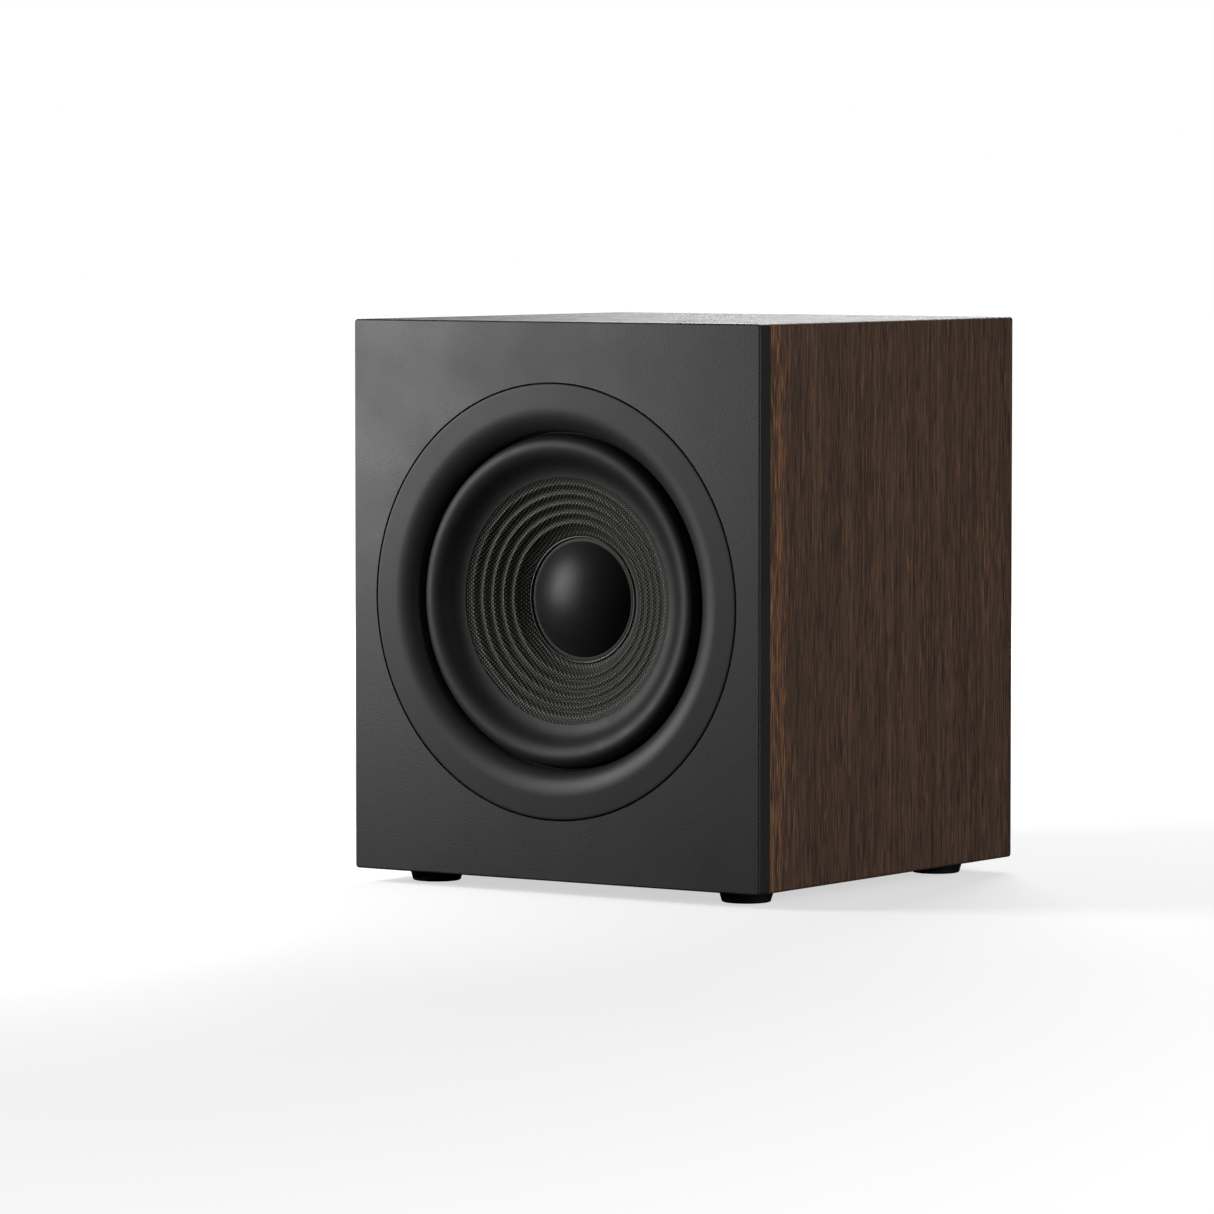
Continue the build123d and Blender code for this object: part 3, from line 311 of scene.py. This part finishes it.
mottled("black_plastic", (0.020, 0.020, 0.020), (0.0145, 0.0145, 0.0145), 0.35, (0.42, 0.5), 0.02)
mottled(
    "gold_plate", (0.83, 0.60, 0.25), (0.70, 0.48, 0.18), 2.5, (0.16, 0.27), 0.003, 8.0, Metallic=1.0
)
mottled("red_plastic", (0.47, 0.018, 0.016), (0.37, 0.012, 0.011), 1.0, (0.24, 0.32), 0.004)
mottled("terminal_black", (0.018, 0.018, 0.018), (0.012, 0.012, 0.012), 1.0, (0.24, 0.32), 0.004)
mottled(
    "tinned_metal", (0.66, 0.66, 0.63), (0.5, 0.5, 0.48), 1.2, (0.3, 0.45), 0.006, Metallic=1.0
)
mottled(
    "insert_brass", (0.68, 0.50, 0.22), (0.52, 0.37, 0.15), 0.9, (0.28, 0.4), 0.006, 5.0, Metallic=1.0
)
mottled("board_laminate", (0.24, 0.16, 0.07), (0.17, 0.11, 0.045), (0.4, 4.0, 4.0), (0.4, 0.5), 0.01)
mottled("film_capacitor", (0.42, 0.33, 0.07), (0.35, 0.27, 0.05), 3.0, (0.22, 0.3), 0.006)
mottled("resistor_ceramic", (0.60, 0.58, 0.53), (0.48, 0.46, 0.42), 0.5, (0.7, 0.85), 0.04)
mottled(
    "black_rubber", (0.0125, 0.0125, 0.0125), (0.0095, 0.0095, 0.0095), 0.5, (0.52, 0.58), 0.006, 9.0,
    Specular_IOR_Level=0.4,
)
mottled("spider_cloth", (0.50, 0.36, 0.13), (0.36, 0.25, 0.08), 0.6, (0.7, 0.85), 0.12)
materials["woven_fibre"] = woven("woven_fibre")
materials["copper_wire"] = wound("copper_wire", "Z", 0.8)
materials["coil_winding"] = wound("coil_winding", "Y", 0.3)

# Nodes whose material is not their slot's own, because their grain or winding runs another way.
special = {
    "top_panel": "dark_veneer_top",
    "bottom_panel": "dark_veneer_top",
    "voice_coil": "coil_winding",
}
slot_of = {part["node"]: part["material_slot"] for part in frame["record"]["subparts"]}
for node, piece in frame["nodes"].items():
    piece.data.materials.clear()
    piece.data.materials.append(materials[special.get(node, slot_of[node])])

# ---------------------------------------------------------------- mesh helpers


def finish_mesh(mesh, name, slot, sharp=35.0):
    """Makes a smooth-shaded object from a bmesh, with its hard edges marked."""
    bmesh.ops.recalc_face_normals(mesh, faces=mesh.faces)
    data = bpy.data.meshes.new(name)
    mesh.to_mesh(data)
    mesh.free()
    data.polygons.foreach_set("use_smooth", [True] * len(data.polygons))
    data.set_sharp_from_angle(angle=math.radians(sharp))
    data.materials.append(materials[slot])
    piece = bpy.data.objects.new(name, data)
    scene.collection.objects.link(piece)
    return piece


def lathe(name, outline, centre, slot, segments=256, shape=None, sharp=35.0):
    """Turns a closed outline round the Y axis through centre. Points are (radius, y) in mm."""
    mesh = bmesh.new()
    rings = []
    for radius, along in outline:
        if radius < 1e-6:
            rings.append([mesh.verts.new(centre + Vector((0, along * MM, 0)))])
            continue
        ring = []
        for step in range(segments):
            angle = 2 * math.pi * step / segments
            reach = (shape(radius, along, angle) if shape else radius) * MM
            place = Vector((reach * math.cos(angle), along * MM, reach * math.sin(angle)))
            ring.append(mesh.verts.new(centre + place))
        rings.append(ring)
    closing = [] if len(rings[0]) == 1 or len(rings[-1]) == 1 else [(rings[-1], rings[0])]
    for inner, outer in list(zip(rings, rings[1:])) + closing:
        if len(inner) == 1 and len(outer) == 1:
            continue
        for step in range(segments):
            following = (step + 1) % segments
            corners = [inner[step % len(inner)], outer[step % len(outer)]]
            if len(outer) > 1:
                corners.append(outer[following])
            if len(inner) > 1:
                corners.append(inner[following])
            mesh.faces.new(corners)
    return finish_mesh(mesh, name, slot, sharp)


def arc(centre, size, start, end, steps):
    """Points on an ellipse's arc: size is its two half axes, and angles are in degrees."""
    points = []
    for step in range(steps + 1):
        angle = math.radians(start + (end - start) * step / steps)
        points.append((centre[0] + size[0] * math.cos(angle), centre[1] + size[1] * math.sin(angle)))
    return points


def smooth(points, steps=5):
    """A rounded curve through the points, with that many steps between two of them."""
    curve = []
    for index in range(len(points) - 1):
        before, start = points[max(index - 1, 0)], points[index]
        end, after = points[index + 1], points[min(index + 2, len(points) - 1)]
        for step in range(steps):
            t = step / steps
            place = []
            for a, b, c, d in zip(before, start, end, after):
                square = (2 * a - 5 * b + 4 * c - d) * t**2
                cube = (3 * b - a - 3 * c + d) * t**3
                place.append(0.5 * (2 * b + (c - a) * t + square + cube))
            curve.append(tuple(place))
    return curve + [points[-1]]


def blend_by_radius(piece, centre):
    """Bakes a piece's transform into its mesh while its vertices stand at (distance from the axis through
    centre, y, 0), then puts them back.
    """
    places = [vertex.co.copy() for vertex in piece.data.vertices]
    for vertex, place in zip(piece.data.vertices, places):
        vertex.co = (math.hypot(place.x - centre.x, place.z - centre.z), place.y, 0)
    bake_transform(piece)
    for vertex, place in zip(piece.data.vertices, places):
        vertex.co = place


# ---------------------------------------------------------------- driver front


# Trim ring: a flat band that rolls inwards into the mouth, with a cavity behind it.
ring = lathe(
    "trim_ring_moulding",
    [
        *arc((82.5, 8.2), (11.1, 8.2), 180, 270, 36),
        (84.5, 0), (86.5, 0), (88.5, 0), (90.5, 0),
        *arc((91.4, 0.6), (0.6, 0.6), 270, 360, 6),
        (92, 6), (84.2, 6), (84.2, 9), (82.6, 9), (82.6, 5.6), (75.4, 5.6), (75.4, 9),
        (71.8, 9), (71.4, 8.6),
    ],
    driver, "ring_plastic", 360,
)
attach(ring, "cabinet")
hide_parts("trim_ring")

# Surround: a long slope up from the cone, a roll with its crest near the outer edge, and a flange
# glued under the ring.
surround = lathe(
    "surround_roll",
    smooth([
        (52.4, 9.62), (53.6, 9.35), (55.2, 8.8), (56.9, 7.9), (58.4, 6.75), (59.8, 5.45),
        (61.2, 4.25), (62.6, 3.4), (64.0, 2.85), (65.4, 2.6), (66.8, 2.72), (68.2, 3.3),
        (69.3, 4.4), (70.0, 5.9), (70.35, 7.4), (70.65, 8.6),
        (71.1, 9.02), (72.0, 9.1),
    ])
    + [(75.2, 9.1), (75.2, 9.7)]
    + smooth([
        (69.9, 9.7), (69.5, 8.4), (69.15, 6.6), (68.5, 5.1), (67.6, 4.0), (66.6, 3.5),
        (65.4, 3.38), (64.2, 3.6), (62.9, 4.15), (61.6, 5.0), (60.3, 6.15), (59.0, 7.35),
        (57.4, 8.6), (55.6, 9.5), (54.4, 9.8), (52.4, 9.82),
    ]),
    driver, "black_rubber", 360,
)
blend_by_radius(surround, driver)
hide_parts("surround")

# Cone: woven fibre pressed into rings, with thin crests and round valleys between them.
cone_edge, cone_edge_depth = 52.4, 9.8
ridge_depth, cone_slope = 10.8, 0.418
ridge_height, crest_softness = 1.12, 0.012
cone_wall = 0.7
former_radius = 16.2


def cone_depth(radius):
    """Depth of the cone's front behind the baffle face, in mm."""
    if radius > ridge_first:
        share = (cone_edge - radius) / (cone_edge - ridge_first)
        drop = (ridge_depth - cone_edge_depth) * share
        return cone_edge_depth + drop + 0.16 * math.sin(math.pi * share)
    line = ridge_depth + (ridge_first - radius) * cone_slope
    turn = math.pi * (ridge_first - radius) / ridge_pitch
    wave = math.sqrt(math.sin(turn) ** 2 + crest_softness) - math.sqrt(crest_softness)
    return line + ridge_height * wave


steps = 190
cone_front = [(58.0, cone_edge_depth)]
for step in range(steps + 1):
    radius = cone_edge - (cone_edge - ridge_last) * step / steps
    cone_front.append((radius, cone_depth(radius)))
cone_front += [
    (29.6, cone_front[-1][1] + 0.62), (28.4, 21.15), (27.0, 22.2),
    (24.0, 24.15), (20.5, 26.45), (16.9, 28.8),
]
cone_back = [(58.0, 10.5)] + [(r, d + cone_wall) for r, d in cone_front[1 : steps + 2 : 5]]
cone_back += [(r, d + cone_wall) for r, d in cone_front[steps + 2 :]]
cone_neck = [(former_radius, 28.8), (former_radius, 29.8)]
cone = lathe("woven_cone", cone_front + cone_neck + cone_back[::-1], driver, "woven_fibre", 384)
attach(cone, "cone_assembly")
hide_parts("cone")

# Dust cap: a shallow dome on a narrow skirt.
dome_rim, dome_rise, dome_top, dome_wall = 24.6, 9.0, 13.2, 0.5
dome_radius = (dome_rim**2 + dome_rise**2) / (2 * dome_rise)
dome_half = math.degrees(math.asin(dome_rim / dome_radius))
dome_front = arc((0, dome_top + dome_radius), (dome_radius, dome_radius), -90, -90 + dome_half, 48)
dome_back = [(r, d + dome_wall) for r, d in reversed(dome_front)]
cap_outline = [(0.0, dome_top)] + dome_front[1:]
cap_outline += [(24.85, 22.16), (25.3, 22.2), (26.2, 22.2), (26.2, 22.45)]
cap_outline += [(24.9, 22.7)] + dome_back[:-1] + [(0.0, dome_top + dome_wall)]
dust_cap = lathe("dust_cap_dome", cap_outline, driver, "dust_cap_plastic", 256)
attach(dust_cap, "cone_assembly")
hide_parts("dust_cap")


def hand_laid(radius, along, angle):
    """A bead laid by hand is a little uneven along its way."""
    wander = noise.noise(Vector((3 * math.cos(angle), 3 * math.sin(angle), 0.5)))
    return radius + 0.09 * wander


bead_section = arc((26.65, 21.925), (0.52, 0.55), 0, 337.5, 15)
bead = lathe("dust_cap_bead", bead_section, driver, "bead_adhesive", 256, hand_laid, 80)
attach(bead, "cone_assembly")
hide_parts("cap_bead")

# ---------------------------------------------------------------- driver inside

# Spider: corrugated cloth between the former and the basket.
flat_in, flat_out, waves = 19.5, 42.3, 5
spider_depth, wave_height, cloth_wall = 35.4, 0.9, 0.6
cloth = [
    (
        flat_in + (flat_out - flat_in) * step / 100,
        spider_depth - wave_height * math.sin(2 * math.pi * waves * step / 100),
    )
    for step in range(101)
]
spider = lathe(
    "spider_cloth_disc",
    [(former_radius, spider_depth), (17.8, spider_depth)]
    + cloth
    + [(45.0, spider_depth), (47.5, spider_depth), (47.5, 36.0), (45.0, 36.0)]
    + [(r, d + cloth_wall) for r, d in reversed(cloth)]
    + [(17.8, 36.0), (former_radius, 36.0)],
    driver, "spider_cloth", 240,
)
blend_by_radius(spider, driver)
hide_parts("spider")


def strand(mesh, line, radius, sides=8):
    """Adds a closed tube along a line."""
    side = Vector((1, 0, 0))
    rings = []
    for index, place in enumerate(line):
        ahead = line[min(index + 1, len(line) - 1)] - line[max(index - 1, 0)]
        ahead.normalize()
        across = (side - ahead * side.dot(ahead)).normalized()
        up = ahead.cross(across)
        rings.append(
            [
                mesh.verts.new(
                    place
                    + across * radius * math.cos(2 * math.pi * k / sides)
                    + up * radius * math.sin(2 * math.pi * k / sides)
                )
                for k in range(sides)
            ]
        )
    for first, second in zip(rings, rings[1:]):
        for k in range(sides):
            mesh.faces.new((first[k], first[(k + 1) % sides], second[(k + 1) % sides], second[k]))
    mesh.faces.new(rings[0][::-1])
    mesh.faces.new(rings[-1])


# Tinsel leads: three fine strands twisted together, from the strip to the back of the cone.
lay, strand_radius = 0.32 * MM, 0.36 * MM
strip_low = driver.z - 60.0 * MM
leads = bmesh.new()
for side in (-1, 1):
    route = [
        (side * 9.5 * MM, front_y + depth * MM, height)
        for depth, height in (
            (38.4, strip_low + 5.5 * MM),
            (34.5, strip_low + 5.6 * MM),
            (29.6, strip_low + 8.4 * MM),
            (27.3, strip_low + 13.5 * MM),
            (26.4, driver.z - 36.5 * MM),
            (24.6, driver.z - 30.8 * MM),
            (21.6, driver.z - 28.5 * MM),
        )
    ]
    line = [Vector(place) for place in smooth(route, 14)]
    for part in range(3):
        twisted = []
        for index, place in enumerate(line):
            turn = 2 * math.pi * (part / 3 + index / 9)
            ahead = (line[min(index + 1, len(line) - 1)] - line[max(index - 1, 0)]).normalized()
            across = Vector((1, 0, 0))
            twisted.append(place + (across * math.cos(turn) + ahead.cross(across) * math.sin(turn)) * lay)
        strand(leads, twisted, strand_radius)
tinsel = finish_mesh(leads, "tinsel_lead_strands", "copper_wire")
# The vertices stand at (distance from the driver's axis, depth behind the baffle) while the transform is
# baked, then go back to their true positions.
places = [vertex.co.copy() for vertex in tinsel.data.vertices]
for vertex, place in zip(tinsel.data.vertices, places):
    vertex.co = (math.hypot(place.x - driver.x, place.z - driver.z), place.y - driver.y, 0)
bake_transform(tinsel)
for vertex, place in zip(tinsel.data.vertices, places):
    vertex.co = place
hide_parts("tinsel_leads")

# ---------------------------------------------------------------- wadding


sag = 1.6 * MM


def pad(name, node):
    """Soft wadding in the space of its CAD node, with an uneven surface up to sag below the solid's."""
    source = frame["nodes"][node]
    piece = bpy.data.objects.new(name, source.data.copy())
    scene.collection.objects.link(piece)
    remesh = piece.modifiers.new("even", "REMESH")
    remesh.mode = "VOXEL"
    remesh.voxel_size = 4.0 * MM
    relax = piece.modifiers.new("relax", "SMOOTH")
    relax.factor, relax.iterations = 0.6, 6
    subdivide = piece.modifiers.new("finer", "SUBSURF")
    subdivide.levels = subdivide.render_levels = 1
    graph = bpy.context.evaluated_depsgraph_get()
    data = bpy.data.meshes.new_from_object(piece.evaluated_get(graph))
    piece.modifiers.clear()
    piece.data = data
    normals = [vertex.normal.copy() for vertex in data.vertices]
    for vertex, normal in zip(data.vertices, normals):
        lump = noise.fractal(vertex.co * 60.0, 1.0, 2.0, 3) * 0.5 + 0.5
        vertex.co -= normal * (sag * min(max(lump, 0.0), 1.0))
    data.materials.clear()
    data.materials.append(materials["wadding"])
    data.polygons.foreach_set("use_smooth", [True] * len(data.polygons))
    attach(piece, "cabinet")
    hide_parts(node)


pad("side_wadding", "damping_sides")
pad("top_wadding", "damping_top")

# ---------------------------------------------------------------- binding posts

knurls, groove_depth = 22, 0.42
grip_start, grip_end = 2.6, 13.0
cap_points = [
    (3.06, 0.0), (6.75, 0.0), (7.08, 0.12), (7.2, 0.45), (7.2, 1.55), (7.05, 1.85), (6.6, 2.2),
    (6.6, 2.6), (6.6, 3.0), (6.6, 3.6), (6.6, 4.4), (6.6, 6.0), (6.6, 8.0), (6.6, 10.0), (6.6, 11.4),
    (6.6, 12.2), (6.6, 12.8), (6.6, 13.1), (6.45, 13.4), (6.2, 13.5), (5.9, 13.5), (5.9, 17.5), (6.2, 17.5),
    (6.45, 17.6), (6.6, 17.85), (6.6, 19.7), (6.45, 20.2), (6.15, 20.55), (5.75, 20.7), (2.75, 20.7),
    (2.45, 20.58), (2.3, 20.3), (2.3, 19.1), (3.06, 19.1),
]


def knurled(radius, along, angle):
    """Grip grooves round the cap between its shoulder and its coloured band."""
    if radius < 6.5 or not grip_start < along < grip_end:
        return radius
    fade = min((along - grip_start) / 1.4, (grip_end - along) / 0.9, 1.0)
    return radius - groove_depth * fade * abs(math.cos(knurls * angle / 2)) ** 3


for colour in ("black", "red"):
    node = f"screw_cap_{colour}"
    base = middle(node)
    base.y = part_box(node)[0].y
    grip = lathe(f"knurled_cap_{colour}", cap_points, base, slot_of[node], knurls * 12, knurled)
    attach(grip, f"cap_{colour}")
    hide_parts(node)

# ---------------------------------------------------------------- stage, lights, camera


def stage_material(name, shade, glow, bounce):
    """A plain pale surface that lights the object little and glows for the camera, most at a distance."""
    surface = Surface(name, Roughness=0.9, Specular_IOR_Level=0.1)
    path = surface.add("ShaderNodeLightPath")
    seen = path.outputs["Is Camera Ray"]
    drift = surface.noise(400.0, 1.0)
    pale = surface.mix(drift, (shade - 0.01,) * 3, (shade,) * 3)
    surface.colour(surface.mix(seen, (bounce,) * 3, pale))
    surface.shader.inputs["Emission Color"].default_value = (1, 1, 1, 1)
    away = surface.add("ShaderNodeVectorMath", operation="LENGTH")
    surface.feed(away.inputs[0], surface.place)
    level = surface.span(away.outputs["Value"], 350.0, 1800.0, glow, 1.0, True)
    surface.feed(surface.shader.inputs["Emission Strength"], surface.times(seen, level))
    return surface.material


floor_mesh = bmesh.new()
floor_level = -0.1 * MM  # just under the feet, whose soles would otherwise share its plane
reach = 12.0
sides = ((-1, -1), (1, -1), (1, 1), (-1, 1))
floor_mesh.faces.new([floor_mesh.verts.new((reach * x, reach * y, floor_level)) for x, y in sides])
floor_data = bpy.data.meshes.new("floor")
floor_mesh.to_mesh(floor_data)
floor_mesh.free()
floor_data.materials.append(stage_material("pale_floor", 0.80, 0.6, 0.06))
floor = bpy.data.objects.new("floor", floor_data)
scene.collection.objects.link(floor)

# The world is white for the camera and gives very little light.
world = bpy.data.worlds.new("studio")
scene.world = world
world.use_nodes = True
tree = world.node_tree
tree.nodes.clear()
path = tree.nodes.new("ShaderNodeLightPath")
seen = tree.nodes.new("ShaderNodeBackground")
seen.inputs["Color"].default_value = (1, 1, 1, 1)
seen.inputs["Strength"].default_value = 1.0
lighting = tree.nodes.new("ShaderNodeBackground")
lighting.inputs["Color"].default_value = (1, 1, 1, 1)
lighting.inputs["Strength"].default_value = 0.03
choose = tree.nodes.new("ShaderNodeMixShader")
out = tree.nodes.new("ShaderNodeOutputWorld")
tree.links.new(path.outputs["Is Camera Ray"], choose.inputs[0])
tree.links.new(lighting.outputs[0], choose.inputs[1])
tree.links.new(seen.outputs[0], choose.inputs[2])
tree.links.new(choose.outputs[0], out.inputs["Surface"])


def area_light(name, place, target, size, power):
    """A soft rectangular light that faces a point."""
    data = bpy.data.lights.new(name, "AREA")
    data.shape = "RECTANGLE"
    data.size, data.size_y = size
    data.energy = power
    light = bpy.data.objects.new(name, data)
    light.location = place
    light.rotation_euler = (Vector(target) - Vector(place)).to_track_quat("-Z", "Y").to_euler()
    scene.collection.objects.link(light)


area_light("key", (-0.44, -0.44, 0.27), (-0.06, front_y, 0.20), (0.26, 0.36), 3.0)
area_light("side_fill", (1.3, -0.16, 0.36), (0.1, -0.03, 0.12), (0.6, 0.6), 5.7)
area_light("back_fill", (-0.6, 1.4, 0.9), (0, 0.1, 0.12), (0.8, 0.8), 14.0)

# The camera looks down a little from the front right, with a long lens.
azimuth, elevation, distance = math.radians(34.611), math.radians(3.510), 2.837327
back = Vector(
    (
        math.sin(azimuth) * math.cos(elevation),
        -math.cos(azimuth) * math.cos(elevation),
        math.sin(elevation),
    )
)
right = Vector((math.cos(azimuth), math.sin(azimuth), 0))
up = back.cross(right)
aim = driver + right * 22.688 * MM - up * 2.016 * MM
camera_data = bpy.data.cameras.new("camera")
camera_data.lens = 200
camera_data.sensor_width = 36
camera_data.clip_end = 100
camera = bpy.data.objects.new("camera", camera_data)
scene.collection.objects.link(camera)
turned = Matrix((right, up, back)).transposed().to_4x4()
camera.matrix_world = Matrix.Translation(aim + back * distance) @ turned
scene.camera = camera
